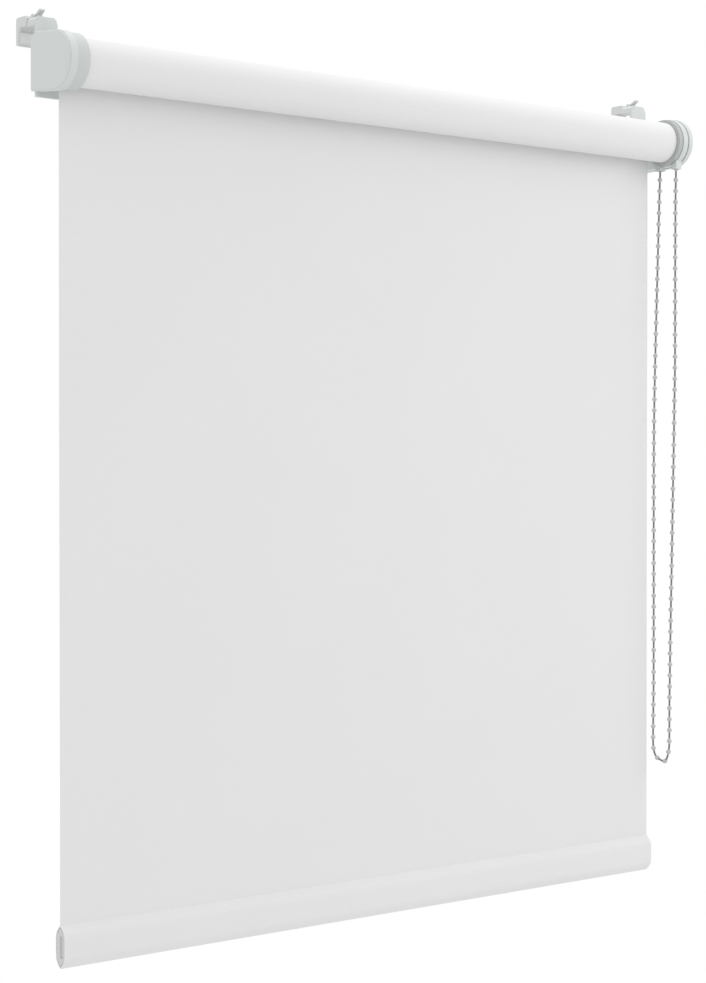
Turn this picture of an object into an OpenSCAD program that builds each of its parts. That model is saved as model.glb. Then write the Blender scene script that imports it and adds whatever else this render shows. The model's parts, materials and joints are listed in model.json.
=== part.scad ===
// Chain-driven roller blind that clamps over the top edge of a window sash.
// X runs along the roller, -Y faces the room, +Y the window, +Z is up.
// The origin lies midway between the two clamps, on the sash's front top edge.

/* [Blind] */
// Width of the fabric
fabric_w = 580; // [400:10:900]
// Drop from the roller axis to the bottom of the hem
drop = 613; // [400:1:1200]
// Radius of the fabric wound on the tube
roll_r = 16.2; // [14.5:0.1:17]
// Thickness of the fabric
fabric_t = 0.35; // [0.25:0.05:0.5]
// Roller axis in front of the sash face
axis_out = 31.5; // [31:0.1:34]
// Roller axis below the sash's top edge
axis_down = 28.5; // [27:0.1:30]

/* [Roller] */
// Outer radius of the aluminium tube
tube_r = 12.5; // [12.5:0.1:13]
// Outer radius of the fixed ring over the idle end
edge_ring_r = 19.2; // [18.8:0.1:19.4]
// Radius of the flange on the drive adapter
drive_flange_r = 19; // [17.5:0.1:19.4]
// Length of the plugs inside the tube
plug_len = 34; // [32:1:50]
// Radius of the idle pin
pin_r = 3; // [2.5:0.1:3.2]

/* [Brackets] */
// Radius of the rounded front of the end covers
cover_r = 20; // [19.8:0.1:22]
// Thickness of the back plate, without its pad
plate_t = 2.6; // [2:0.1:3]
// Lowest edge of the back plate, from the roller axis
plate_bottom = -20.7; // [-24:0.1:-18]
// Top edge of the back plate, from the roller axis
plate_top = 33; // [32.5:0.1:34]
// Inboard reach of the back plate past the fabric's edge
plate_in = 8.7; // [6.4:0.1:10]
// Thickness of the grip pads
pad_t = 0.5; // [0.4:0.1:0.8]

/* [Sash clamp] */
// Sash thickness that the clamp is set to
sash_t = 20; // [18:0.5:22]
// Width of the hook's leg
hook_w = 13; // [11:0.1:13.4]
// Thickness of the hook's arm
arm_t = 2.7; // [2.4:0.1:2.8]
// How far the hook's leg reaches down behind the sash
leg_len = 11.5; // [8:0.5:20]

/* [Chain] */
// Distance between beads
bead_pitch = 9.25; // [9:0.05:9.8]
// Diameter of a bead
bead_d = 4.2; // [3.6:0.1:4.4]
// Diameter of the chain's cord
cord_d = 1.6; // [1.2:0.1:2]

/* [Hem] */
// Height of the hem pocket
hem_h = 29.5; // [26:0.5:34]
// Thickness of the hem pocket
hem_t = 11; // [10:0.5:12]

/* [Hidden] */
LEFT = -1;
RIGHT = 1;
$fn = 64;

plastic = [0.80, 0.82, 0.81];
cover_grey = [0.84, 0.86, 0.85];
dark_plastic = [0.62, 0.65, 0.65];
cloth = [0.90, 0.90, 0.90];
steel = [0.60, 0.60, 0.62];
aluminium = [0.75, 0.76, 0.78];
rubber = [0.88, 0.89, 0.89];

// Radial play of a running shaft, and of a plug pushed into a tube
run_gap = 0.06;
push_gap = 0.05;
// Air between pieces that move past each other
air = 0.3;
half_w = fabric_w / 2;
tube_wall = 1;
pockets = 6;
bore_r = tube_r - tube_wall;
plug_r = bore_r - push_gap;

// Places along each end, measured outboard (t) from the fabric's edge
plate_back = axis_out - pad_t;
plate_front = plate_back - plate_t;
left_plate_out = 10.3;
left_side = [8.2, left_plate_out];
left_cover_span = [7.2, 13.7];
// Ring over the idle end: its reach along X, its bore, and the gap behind it where the fabric hangs down
edge_ring_span = [-2.9, 7];
edge_ring_bore = 17;
edge_ring_gap = [14.5, 1];
right_side = [11.2, 13];
right_cover_span = [11.9, 17];
guard_span = [4.3, right_side[0]];
guard_wall_end = 5.1;
guard_wall_r = 17.9;
guard_band = [5.6, 10.9];
cover_wall = 1.4;
face_wall = 1.5;

// Side outlines behind the round front, as [lowest rear corner, highest rear corner, shoulder]
left_side_line = [-17, 19.5, [25, 23]];
right_side_line = [-20.8, 13.5, [25, 18]];

// Clamp sleeve on top of each back plate
hook_mid = 3.5;
sleeve_in = 6.4;
sleeve_back = 40.5;
sleeve_top = 34.3;
slot_gap = 0.2;
arm_w = 11;
arm_low = 29.5;
arm_high = arm_low + arm_t;
arm_start = 31.6;
slot_start = 29.7;
leg_t = 3.7;
hook_pad_t = 0.8;
leg_front = axis_out + sash_t + hook_pad_t;
leg_back = leg_front + leg_t;
leg_low = axis_down - leg_len;
lip_top = 36.6;
// Where the hook widens and thickens behind the sleeve, clear of it when pushed fully in
rib_start = sleeve_back + 1.8;

// Lock tab over the sleeve
tab_pivot = [39, 35.7];
tab_pin_r = 0.95;
tab_w = 4.2;
tab_len = 8;
tab_rise = 30;
ear_t = 1.6;

// Wheel, guard and clutch
wheel_mid = 7.7;
wheel_w = 4.6;
wheel_r = 11.2;
pitch_r = bead_pitch * pockets / (2 * PI);
guard_cavity_r = 12.6;
nub_low = -22.4;
nub_w = 6.2;
channel_w = 4.9;
hub_r = 5.5;
hub_end = -30;
sleeve_r = 8.1;
sleeve_bore = 6.9;
sleeve_end = -20;
key_angle = [68, 112];
slot_angle = [60, 120];
spring_wire = 0.8;
spring_r = hub_r + 0.35 + spring_wire / 2;
wrap_turns = 4.75;
wrap_starts = [-3, -11];

// Idle pin: collar, spring and seat inside the plug
collar_r = 4.5;
collar_t = 3;
seat_span = [-30, -26];
coil_turns = 9;
coil_r = 3.6;

// Hem and bar
hem_z = -drop + hem_h / 2;
hem_skin = 0.5;
bar_gap = 0.1;
bar_h = hem_h - 3;
bar_t = hem_t - 2 * hem_skin - 2 * bar_gap;
bar_wall = 1.2;
cap_t = 1.6;
sheet_y = roll_r + air;
hem_y = sheet_y + fabric_t / 2;

// Chain route as [y, z] from the roller axis: down the front, round the bottom, up the back
route = [
    [-8.9, -15], [-8.8, -23], [-8.3, -50], [-8.1, -100], [-8.1, -150], [-8, -190], [-7.3, -225],
    [-6.7, -260], [-5.9, -295], [-5.2, -330], [-4.6, -360], [-3.9, -390], [-3.3, -420], [-2.8, -450],
    [-2.4, -475], [-2.4, -497], [-2.1, -508.5], [0, -516.8], [3, -520.6], [7.4, -519.9], [12.4, -517.6],
    [15.2, -512.5], [16.1, -505], [16, -490], [15.6, -450], [15.6, -400], [15.7, -350], [15.8, -300],
    [15.7, -250], [15.2, -215], [14, -170], [12.7, -130], [11.4, -90], [9.9, -45], [9.1, -25], [8.9, -15]
];
route_steps = 2;

function clamp_i(i, n) = min(max(i, 0), n - 1);
// Catmull-Rom curve through the points p, between points i and i + 1
function curve_at(p, i, u) =
    let (a = p[clamp_i(i - 1, len(p))], b = p[i], c = p[clamp_i(i + 1, len(p))], d = p[clamp_i(i + 2, len(p))])
    0.5 * ((2 * b) + (c - a) * u + (2 * a - 5 * b + 4 * c - d) * u * u + (3 * b - a - 3 * c + d) * u * u * u);
function smooth(p, steps) = concat(
    [for (i = [0 : len(p) - 2]) for (k = [0 : steps - 1]) curve_at(p, i, k / steps)],
    [p[len(p) - 1]]
);
line = smooth(route, route_steps);
// Length along the line up to each of its points
function lengths(p, i = 1, sum = 0, out = [0]) =
    i >= len(p) ? out : let (s = sum + norm(p[i] - p[i - 1])) lengths(p, i + 1, s, concat(out, [s]));
line_s = lengths(line);
line_len = line_s[len(line) - 1];
y_table = [for (i = [0 : len(line) - 1]) [line_s[i], line[i][0]]];
z_table = [for (i = [0 : len(line) - 1]) [line_s[i], line[i][1]]];
bead_count = floor(line_len / bead_pitch);
first_bead = 0.8 + (line_len - (bead_count - 1) * bead_pitch) / 2;

// Direction of the points p at point i, and the ring of a tube of radius r there
function along(p, i) =
    let (d = p[clamp_i(i + 1, len(p))] - p[clamp_i(i - 1, len(p))]) d / norm(d);
function ring(p, i, side, r, sides) =
    let (f = along(p, i), n = cross(f, side) / norm(cross(f, side)), b = cross(n, f))
    [for (k = [0 : sides - 1]) p[i] + r * cos(360 * k / sides) * n + r * sin(360 * k / sides) * b];

// Closed tube of radius r swept along the 3D points p; side is a direction never along the path
module sweep_tube(p, side, r, sides) {
    rings = [for (i = [0 : len(p) - 1]) each ring(p, i, side, r, sides)];
    last = (len(p) - 1) * sides;
    walls = [for (i = [0 : len(p) - 2]) for (k = [0 : sides - 1])
        let (a = i * sides + k, b = i * sides + (k + 1) % sides) [a, b, b + sides, a + sides]];
    ends = [[for (k = [sides - 1 : -1 : 0]) k], [for (k = [0 : sides - 1]) last + k]];
    polyhedron(points = rings, faces = concat(walls, ends), convexity = 10);
}

// Helix of the given radius along X from t = start, winding towards -X
function helix(radius, start, turns, lead, steps) =
    [for (i = [0 : turns * steps]) let (a = 360 * i / steps)
        [start - lead * i / steps, radius * cos(a), radius * sin(a)]];

// Places a shape drawn about the roller axis, with X outboard from the fabric's edge
module on_end(side) {
    translate([0, -axis_out, -axis_down])
        mirror([side == LEFT ? 1 : 0, 0, 0])
            translate([half_w, 0, 0])
                children();
}

module on_axis() {
    translate([0, -axis_out, -axis_down]) children();
}

// Round bar along X between t0 and t1
module rod(r, t0, t1) {
    translate([t0, 0, 0]) rotate([0, 90, 0]) cylinder(r = r, h = t1 - t0);
}

// Outline drawn as (y, z), carried along X between t0 and t1
module slab(t0, t1) {
    translate([t0, 0, 0]) rotate([90, 0, 90]) linear_extrude(height = t1 - t0) children();
}

module block(t, y, z) {
    translate([t[0], y[0], z[0]]) cube([t[1] - t[0], y[1] - y[0], z[1] - z[0]]);
}

// Side outline shared by covers, side plates and guard: round front, straight rear, cut corner
module end_outline(inset, back, rear) {
    r = cover_r - inset;
    shoulder = rear[2];
    slope = (shoulder[1] - rear[1]) / (axis_out - shoulder[0]);
    circle(r = r);
    polygon([
        [0, -r],
        [back, rear[0] + inset],
        [back, rear[1] - (back - axis_out) * slope - inset * norm([1, slope])],
        [shoulder[0] - 0.4 * inset, shoulder[1] - inset],
        [0, r]
    ]);
}

// Flat-sided lens of height h and thickness w, pointed at top and bottom
module lens(h, w) {
    full = 1.35 * w;
    r = (h * h + full * full) / (4 * full);
    intersection() {
        translate([r - full / 2, 0]) circle(r = r, $fn = 180);
        translate([full / 2 - r, 0]) circle(r = r, $fn = 180);
        square([w, h], center = true);
    }
}

// Sector of a tube between two radii and two angles, from t0 to t1
module sector(r_in, r_out, angles, t0, t1) {
    translate([t0, 0, 0])
        rotate([0, 90, 0])
            rotate([0, 0, angles[0]])
                rotate_extrude(angle = angles[1] - angles[0])
                    translate([r_in, 0])
                        square([r_out - r_in, t1 - t0]);
}

// Back plate: t_out is its outboard edge beside the side plate, below its narrower head
module back_plate(t_out) {
    cut = 3;
    head = left_plate_out;
    neck = 17;
    foot = 2;
    translate([0, plate_back, 0])
        rotate([90, 0, 0])
            linear_extrude(height = plate_t)
                polygon([
                    [-plate_in + 1, plate_bottom], [t_out, plate_bottom], [t_out, neck], [head, neck],
                    [head, plate_top - cut], [head - cut, plate_top], [-sleeve_in + cut, plate_top],
                    [-sleeve_in, plate_top - cut], [-sleeve_in, foot + plate_in - sleeve_in], [-plate_in, foot],
                    [-plate_in, plate_bottom + 1]
                ]);
}

// Sleeve over the sash's top edge, in which the hook slides and the lock tab turns
module clamp_sleeve() {
    outer = [-sleeve_in, left_plate_out];
    edge = 2;
    lug_r = 1.7;
    translate([0, sleeve_back, 0])
        rotate([90, 0, 0])
            linear_extrude(height = sleeve_back - plate_front - 1)
                polygon([
                    [outer[0], axis_down], [outer[1], axis_down], [outer[1], sleeve_top - edge],
                    [outer[1] - edge, sleeve_top], [outer[0] + edge, sleeve_top],
                    [outer[0], sleeve_top - edge]
                ]);
    for (s = [-1, 1])
        translate([hook_mid + s * (tab_w / 2 + air + ear_t / 2), tab_pivot[0], 0]) {
            block([-ear_t / 2, ear_t / 2], [-lug_r, sleeve_back - tab_pivot[0]], [sleeve_top - 0.5, tab_pivot[1]]);
            translate([0, 0, tab_pivot[1]]) rod(lug_r, -ear_t / 2, ear_t / 2);
        }
}

// What is cut out of sleeve and back plate: the arm's slot, the tab's window and its pin's hole
module clamp_slots() {
    slot_half = arm_w / 2 + slot_gap;
    window_front = 32;
    block([hook_mid - slot_half, hook_mid + slot_half], [slot_start, sleeve_back + 1],
          [arm_low - slot_gap, arm_high + slot_gap]);
    block([hook_mid - tab_w / 2 - air, hook_mid + tab_w / 2 + air], [window_front, sleeve_back + 1],
          [arm_high, sleeve_top + 4]);
    translate([hook_mid, tab_pivot[0], tab_pivot[1]]) rod(tab_pin_r + run_gap, -tab_w, tab_w);
}

module peg_places() {
    for (p = [[-9, 8], [-9, -8], [20, 12], [20, -10]])
        translate([0, p[0], p[1]]) children();
}

module left_bracket() {
    color(plastic) on_end(LEFT) difference() {
        union() {
            back_plate(left_plate_out);
            clamp_sleeve();
            slab(left_side[0], left_side[1]) end_outline(cover_wall + 0.3, plate_back, left_side_line);
            rod(6, left_side[0] - 0.6, left_side[1]);
            block([left_side[0] - 4, left_side[0] + 0.1], [plate_front - 3, plate_front + 0.1], [-15, 12]);
        }
        clamp_slots();
        rod(pin_r + run_gap, 0, left_cover_span[1]);
        peg_places() rod(1.45, 0, left_cover_span[1]);
    }
}

module right_bracket() {
    color(plastic) on_end(RIGHT) difference() {
        union() {
            back_plate(right_side[1]);
            clamp_sleeve();
            slab(right_side[0], right_side[1]) end_outline(cover_wall + 0.3, plate_back, right_side_line);
        }
        clamp_slots();
        translate([right_side[0] - 1, 0, 0]) rotate([0, 90, 0]) cylinder(r = 4.6, h = 4, $fn = 6);
        peg_places() rod(1.45, right_side[0] - 1, right_side[1] + 1);
    }
}

// Fixed ring over the idle end, open behind and below, where the fabric leaves the roll
module left_edge_ring() {
    inner_r = cover_r - cover_wall - air;
    edge = 0.6;
    color(dark_plastic) on_end(LEFT) difference() {
        union() {
            rod(edge_ring_r - edge, edge_ring_span[0], edge_ring_span[1]);
            rod(edge_ring_r, edge_ring_span[0] + edge, edge_ring_span[1]);
            rod(inner_r, edge_ring_span[1] - 1, left_side[0]);
        }
        rod(edge_ring_bore, edge_ring_span[0] - 1, left_side[0] + 1);
        block([edge_ring_span[0] - 1, left_side[0] + 1], [edge_ring_gap[0], cover_r + 1],
              [-cover_r - 1, edge_ring_gap[1]]);
    }
}

// Hollow end cover, open towards the roller and where the back plate passes
module end_cover(span, plate_edge, side_face, rear) {
    difference() {
        union() {
            difference() {
                union() {
                    slab(span[0], span[1] - 0.8) end_outline(0, axis_out, rear);
                    slab(span[1] - 1, span[1]) end_outline(0.8, axis_out - 0.8, rear);
                }
                slab(span[0] - 1, span[1] - face_wall) end_outline(cover_wall, axis_out + 5, rear);
            }
            peg_places() rod(1.4, side_face[0] + 0.2, span[1] - 1);
            peg_places() rod(2.6, side_face[1] + 0.2, span[1] - 1);
        }
        block([span[0] - 1, plate_edge + 0.2], [plate_front - 0.2, axis_out + 1], [-30, 40]);
    }
}

module left_cover() {
    color(cover_grey) on_end(LEFT) end_cover(left_cover_span, left_plate_out, left_side, left_side_line);
}

module right_cover() {
    color(cover_grey) on_end(RIGHT) end_cover(right_cover_span, right_side[1], right_side, right_side_line);
}

module plate_pad() {
    half = 6.5;
    block([hook_mid - half, hook_mid + half], [plate_back, axis_out], [-14, 26]);
}

module left_plate_pad() {
    color(rubber) on_end(LEFT) plate_pad();
}

module right_plate_pad() {
    color(rubber) on_end(RIGHT) plate_pad();
}

module chain_guard() {
    color(plastic) on_end(RIGHT) difference() {
        union() {
            rod(guard_wall_r, guard_span[0], guard_band[0] + 0.1);
            slab(guard_band[0], guard_span[1]) end_outline(1.2, plate_front, right_side_line);
            slab(guard_band[0], guard_band[1]) end_outline(0.4, plate_front, right_side_line);
            difference() {
                for (s = [-1, 1])
                    block([wheel_mid - nub_w / 2, wheel_mid + nub_w / 2],
                          [s * pitch_r - nub_w / 2, s * pitch_r + nub_w / 2], [nub_low, -10]);
                rod(drive_flange_r + air, guard_span[0] - 1, guard_band[0]);
            }
        }
        rod(guard_cavity_r, guard_wall_end, guard_span[1] + 1);
        rod(sleeve_r + 0.5, guard_span[0] - 1, guard_span[1]);
        for (s = [-1, 1])
            block([wheel_mid - channel_w / 2, wheel_mid + channel_w / 2],
                  [s * pitch_r - channel_w / 2, s * pitch_r + channel_w / 2], [nub_low - 1, 0]);
        peg_places() rod(1.45, guard_span[1] - 3, guard_span[1] + 1);
    }
}

module clutch_hub() {
    color(dark_plastic) on_end(RIGHT) difference() {
        union() {
            rod(hub_r, hub_end, right_side[0]);
            rod(8, wheel_mid + wheel_w / 2 + air, right_side[0]);
            translate([right_side[0] - 0.1, 0, 0]) rotate([0, 90, 0]) cylinder(r = 4.5, h = 3.1, $fn = 6);
        }
        rod(2.2, hub_end - 1, right_side[0] - 3);
        difference() {
            rod(hub_r + 1, hub_end + 1.2, hub_end + 2.4);
            rod(4.7, hub_end, hub_end + 3);
        }
    }
}

module hub_clip() {
    color(steel) on_end(RIGHT) sector(4.75, 7.2, [20, 340], hub_end + 1.3, hub_end + 2.3);
}

module fabric_sheet() {
    color(cloth) on_axis()
        block([-half_w, half_w], [sheet_y, sheet_y + fabric_t], [hem_z + hem_h / 2 + air, 0]);
}

module chain_cord() {
    color(steel) on_end(RIGHT)
        sweep_tube([for (p = line) [wheel_mid, p[0], p[1]]], [1, 0, 0], cord_d / 2, 8);
}

module chain_beads() {
    color(plastic) on_end(RIGHT)
        for (i = [0 : bead_count - 1])
            let (s = first_bead + i * bead_pitch)
                translate([wheel_mid, lookup(s, y_table), lookup(s, z_table)]) sphere(d = bead_d, $fn = 24);
}

module roller_tube() {
    color(aluminium) on_axis() difference() {
        rod(tube_r, -half_w, half_w);
        rod(bore_r, -half_w - 1, half_w + 1);
    }
}

module fabric_roll() {
    color(cloth) on_axis() difference() {
        rod(roll_r, -half_w, half_w);
        rod(tube_r + 0.25, -half_w - 1, half_w + 1);
    }
}

module fabric_tape() {
    color(rubber) on_axis() sector(tube_r, tube_r + 0.2, [0, 40], -half_w + 5, half_w - 5);
}

module idler_plug() {
    flange = [0.4, 5.8];
    flange_r = edge_ring_bore - 0.5;
    color(dark_plastic) on_end(LEFT) difference() {
        union() {
            rod(plug_r, -plug_len, flange[0] + 1);
            rod(flange_r, flange[0], flange[1] - 1);
            rod(flange_r - 1, flange[0], flange[1]);
        }
        rod(collar_r + run_gap, -plug_len - 1, flange[0] - 0.1);
        rod(pin_r + run_gap, -1, flange[1] + 1);
        for (a = [0 : 45 : 315])
            rotate([a, 0, 0]) block([-plug_len - 1, -3], [plug_r - 2.5, plug_r + 1], [-1.5, 1.5]);
    }
}

module spring_seat() {
    color(dark_plastic) on_end(LEFT) difference() {
        rod(collar_r, seat_span[0], seat_span[1]);
        rod(1.2, seat_span[0] - 1, seat_span[1] + 1);
    }
}

module pin_spring() {
    coil_from = -collar_t - 0.5 - spring_wire / 2;
    lead = (coil_from - seat_span[1] - spring_wire / 2 - 0.3) / coil_turns;
    color(steel) on_end(LEFT) sweep_tube(helix(coil_r, coil_from, coil_turns, lead, 20), [1, 0, 0], spring_wire / 2, 6);
}

module idle_pin() {
    tip = 9.9;
    color(steel) on_end(LEFT) {
        rod(collar_r, -collar_t, 0);
        rod(pin_r, -collar_t, tip - 0.8);
        rod(2, -12, -collar_t + 0.1);
        translate([tip - 0.8, 0, 0]) rotate([0, 90, 0]) cylinder(r1 = pin_r, r2 = pin_r - 0.7, h = 0.8);
    }
}

// Plug in the tube with a wide flange, whose skirt covers the guard's round end wall
module drive_adapter() {
    edge = 0.5;
    skirt_end = guard_band[0] - air;
    color(dark_plastic) on_end(RIGHT) {
        difference() {
            union() {
                rod(plug_r, -26, 1);
                rod(drive_flange_r - edge, air, skirt_end);
                rod(drive_flange_r, air + edge, skirt_end);
            }
            rod(guard_wall_r + 2 * air, guard_span[0] - air, skirt_end + 1);
            rod(sleeve_r + 0.2, -22, 5);
            rod(hub_r + run_gap, -27, 0);
            for (a = [0 : 45 : 315])
                rotate([a, 0, 0]) block([-27, -3], [plug_r - 1.6, plug_r + 1], [-1.5, 1.5]);
        }
        sector(sleeve_bore + 0.3, sleeve_r + 0.4, key_angle, sleeve_end, -1);
    }
}

module chain_wheel() {
    t0 = wheel_mid - wheel_w / 2;
    t1 = wheel_mid + wheel_w / 2;
    groove = 1.7;
    color(plastic) on_end(RIGHT) difference() {
        union() {
            rod(wheel_r, t0, t1);
            rod(sleeve_r, sleeve_end, t0 + 0.1);
        }
        translate([wheel_mid, 0, 0])
            rotate([0, 90, 0])
                rotate_extrude()
                    polygon([[pitch_r - cord_d, -0.9], [wheel_r + 1, -groove], [wheel_r + 1, groove],
                             [pitch_r - cord_d, 0.9]]);
        for (i = [0 : pockets - 1])
            rotate([360 * i / pockets + 90, 0, 0]) translate([wheel_mid, pitch_r, 0]) sphere(d = bead_d + 0.2);
        rod(hub_r + run_gap, -30, t1 + 1);
        rod(sleeve_bore, sleeve_end - 1, -1);
        sector(sleeve_bore - 1, sleeve_r + 1, slot_angle, sleeve_end - 1, -1);
    }
}

module clutch_springs() {
    color(steel) on_end(RIGHT)
        for (start = wrap_starts)
            sweep_tube(helix(spring_r, start, wrap_turns, spring_wire * 1.15, 24), [1, 0, 0], spring_wire / 2, 6);
}

module wheel_beads() {
    color(plastic) on_end(RIGHT) {
        for (i = [-1 : 1])
            rotate([360 * i / pockets + 90, 0, 0]) translate([wheel_mid, pitch_r, 0]) sphere(d = bead_d, $fn = 24);
        translate([wheel_mid, 0, 0])
            rotate([0, 90, 0])
                rotate([0, 0, 90])
                    rotate_extrude(angle = 180)
                        translate([pitch_r, 0]) circle(d = cord_d, $fn = 16);
    }
}

// Hook that slides in the sleeve: narrow arm, then a wider and thicker arm, and the leg behind the sash
module hook() {
    round_in = 2.2;
    color(plastic) {
        block([hook_mid - arm_w / 2, hook_mid + arm_w / 2], [arm_start, rib_start + 1], [arm_low, arm_high]);
        slab(hook_mid - hook_w / 2, hook_mid + hook_w / 2)
            polygon([
                [rib_start, arm_low], [leg_front - round_in, arm_low], [leg_front, arm_low - round_in],
                [leg_front, leg_low + 1.5], [leg_front + 1.2, leg_low], [leg_back, leg_low + 0.8],
                [leg_back, lip_top - 1.4], [leg_back - 1.4, lip_top], [rib_start + 1.5, lip_top],
                [rib_start, lip_top - 2]
            ]);
    }
}

module hook_pad() {
    color(rubber)
        block([hook_mid - 5.5, hook_mid + 5.5], [leg_front - hook_pad_t, leg_front],
              [leg_low + 1.8, arm_low - 3.2]);
}

module left_hook() {
    on_end(LEFT) hook();
}

module left_hook_pad() {
    on_end(LEFT) hook_pad();
}

module right_hook() {
    on_end(RIGHT) hook();
}

module right_hook_pad() {
    on_end(RIGHT) hook_pad();
}

// Tongue with its cross pin; its nose presses on the hook's arm through the sleeve's window
module lock_tab() {
    tongue_t = 1.3;
    nose = [35.8, 38.4];
    color(plastic) translate([hook_mid, 0, 0]) {
        translate([0, tab_pivot[0], tab_pivot[1]]) {
            rod(tab_pin_r, -tab_w / 2 - air - ear_t, tab_w / 2 + air + ear_t);
            rod(1.3, -tab_w / 2, tab_w / 2);
            rotate([-tab_rise, 0, 0])
                translate([-tab_w / 2, -tab_len, -tongue_t / 2]) cube([tab_w, tab_len, tongue_t]);
        }
        block([-tab_w / 2 + 0.5, tab_w / 2 - 0.5], nose, [arm_high + 0.4, tab_pivot[1] + 0.9]);
    }
}

module left_lock_tab() {
    on_end(LEFT) lock_tab();
}

module right_lock_tab() {
    on_end(RIGHT) lock_tab();
}

module hem_pocket() {
    color(cloth) on_axis() translate([0, hem_y, hem_z]) difference() {
        slab(-half_w, half_w) lens(hem_h, hem_t);
        slab(-half_w - 1, half_w + 1) lens(hem_h - 4 * hem_skin, hem_t - 2 * hem_skin);
    }
}

module bottom_bar() {
    end = half_w - cap_t;
    color(aluminium) on_axis() translate([0, hem_y, hem_z]) difference() {
        slab(-end, end) lens(bar_h, bar_t);
        difference() {
            slab(-end - 1, end + 1) lens(bar_h - 3 * bar_wall, bar_t - 2 * bar_wall);
            slab(-end - 2, end + 2) square([bar_t, bar_wall], center = true);
        }
    }
}

// Cap with a spigot into the bar; its outer face has a shallow recess on the room side, as [depth, half height]
module bar_cap(side) {
    spigot = 12;
    recess = [1, 7.5];
    translate([0, -axis_out, -axis_down])
        mirror([side == LEFT ? 1 : 0, 0, 0])
            translate([half_w - cap_t, hem_y, hem_z]) {
                difference() {
                    slab(0, cap_t) lens(bar_h, bar_t);
                    block([cap_t - recess[0], cap_t + 1], [-bar_t / 2 + bar_wall, 0.3], [-recess[1], recess[1]]);
                }
                difference() {
                    slab(-spigot, 0.1) lens(bar_h - 3 * bar_wall - 0.4, bar_t - 2 * bar_wall - 0.2);
                    slab(-spigot - 1, 0) square([bar_t, bar_wall + 0.4], center = true);
                }
            }
}

module left_bar_cap() {
    color(dark_plastic) bar_cap(LEFT);
}

module right_bar_cap() {
    color(dark_plastic) bar_cap(RIGHT);
}

left_bracket();
right_bracket();
left_cover();
right_cover();
left_edge_ring();
left_plate_pad();
right_plate_pad();
chain_guard();
clutch_hub();
hub_clip();
fabric_sheet();
chain_cord();
chain_beads();
roller_tube();
fabric_roll();
fabric_tape();
idler_plug();
spring_seat();
pin_spring();
drive_adapter();
chain_wheel();
clutch_springs();
wheel_beads();
idle_pin();
left_hook();
left_hook_pad();
right_hook();
right_hook_pad();
left_lock_tab();
right_lock_tab();
hem_pocket();
bottom_bar();
left_bar_cap();
right_bar_cap();
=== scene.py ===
# %% [markdown]
# # A roller blind that clamps on a window sash
# The moving design comes from the CAD frame: brackets, clutch, roller, bar and all the joints. This lesson
# adds what an eye needs: rounded edges on the plastic, cloth on the roll, a chain of beads, and soft light.
# Everything is in metres, in the frame's own axes: X runs along the roller, -Y faces the room, +Z is up.

# %% Load the frame
import json
import math

import bmesh
import bpy
import numpy as np
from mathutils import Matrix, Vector


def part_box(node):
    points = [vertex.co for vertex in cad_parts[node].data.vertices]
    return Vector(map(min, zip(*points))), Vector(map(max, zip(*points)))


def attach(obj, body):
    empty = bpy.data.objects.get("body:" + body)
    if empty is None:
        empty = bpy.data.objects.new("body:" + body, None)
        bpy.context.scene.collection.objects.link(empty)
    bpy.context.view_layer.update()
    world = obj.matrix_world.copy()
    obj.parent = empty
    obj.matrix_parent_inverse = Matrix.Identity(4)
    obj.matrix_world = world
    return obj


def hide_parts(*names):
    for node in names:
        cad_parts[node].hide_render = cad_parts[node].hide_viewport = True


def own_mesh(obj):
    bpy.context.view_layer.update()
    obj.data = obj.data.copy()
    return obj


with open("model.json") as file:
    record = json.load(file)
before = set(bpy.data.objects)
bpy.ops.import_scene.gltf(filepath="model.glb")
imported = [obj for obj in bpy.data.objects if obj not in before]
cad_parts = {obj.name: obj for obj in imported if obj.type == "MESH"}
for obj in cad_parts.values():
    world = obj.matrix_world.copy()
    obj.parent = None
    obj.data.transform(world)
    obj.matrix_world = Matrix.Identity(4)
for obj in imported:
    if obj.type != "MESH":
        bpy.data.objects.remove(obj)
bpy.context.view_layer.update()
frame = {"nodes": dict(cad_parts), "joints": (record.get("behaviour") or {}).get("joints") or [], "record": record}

# %% [markdown]
# ## Where things are
# A blind is laid out from its roller axis. The frame's main hinge gives that axis, and the boxes of a few
# parts give the cloth's width, the roll's radius and the drop, so no size is typed in twice.

# %% Driving sizes, read from the frame
MM = 0.001
joints = {joint["name"]: joint for joint in frame["joints"]}
axis_y, axis_z = joints["roller_spin"]["pos_m"][1:]
sheet_low, sheet_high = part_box("fabric_sheet")
roll_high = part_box("fabric_roll")[1]
hem_low, hem_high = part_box("hem_pocket")
left_x, right_x = sheet_low.x, sheet_high.x
cloth_w = right_x - left_x
roll_r = roll_high.z - axis_z
print(f"cloth {cloth_w / MM:.0f} mm wide, roll radius {roll_r / MM:.1f} mm, hem at {hem_low.z / MM:.1f} mm")

# %% [markdown]
# ## The camera
# The viewpoint is low and to the left, looking almost level, so the left cover faces us and the roll runs
# away to the right. Its place is kept in cloth widths from the cloth's top left corner, which makes it easy
# to reuse on a wider blind. A long lens keeps the upright edges nearly parallel.

# %% Camera
VIEW_FROM = (-1.3629, -2.1648, -0.4670)
VIEW_TURN = 39.487
VIEW_DIP = 0.675
LENS = 80.19
FILM_WIDTH = 36
camera_data = bpy.data.cameras.new("camera")
camera_data.lens = LENS
camera_data.sensor_width = FILM_WIDTH
camera = bpy.data.objects.new("camera", camera_data)
camera.location = (left_x + VIEW_FROM[0] * cloth_w, axis_y + VIEW_FROM[1] * cloth_w,
                   axis_z + VIEW_FROM[2] * cloth_w)
camera.rotation_euler = (math.radians(90 - VIEW_DIP), 0, math.radians(-VIEW_TURN))
bpy.context.scene.collection.objects.link(camera)
bpy.context.scene.camera = camera
print("camera at", tuple(round(v, 3) for v in camera.location))

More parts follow.
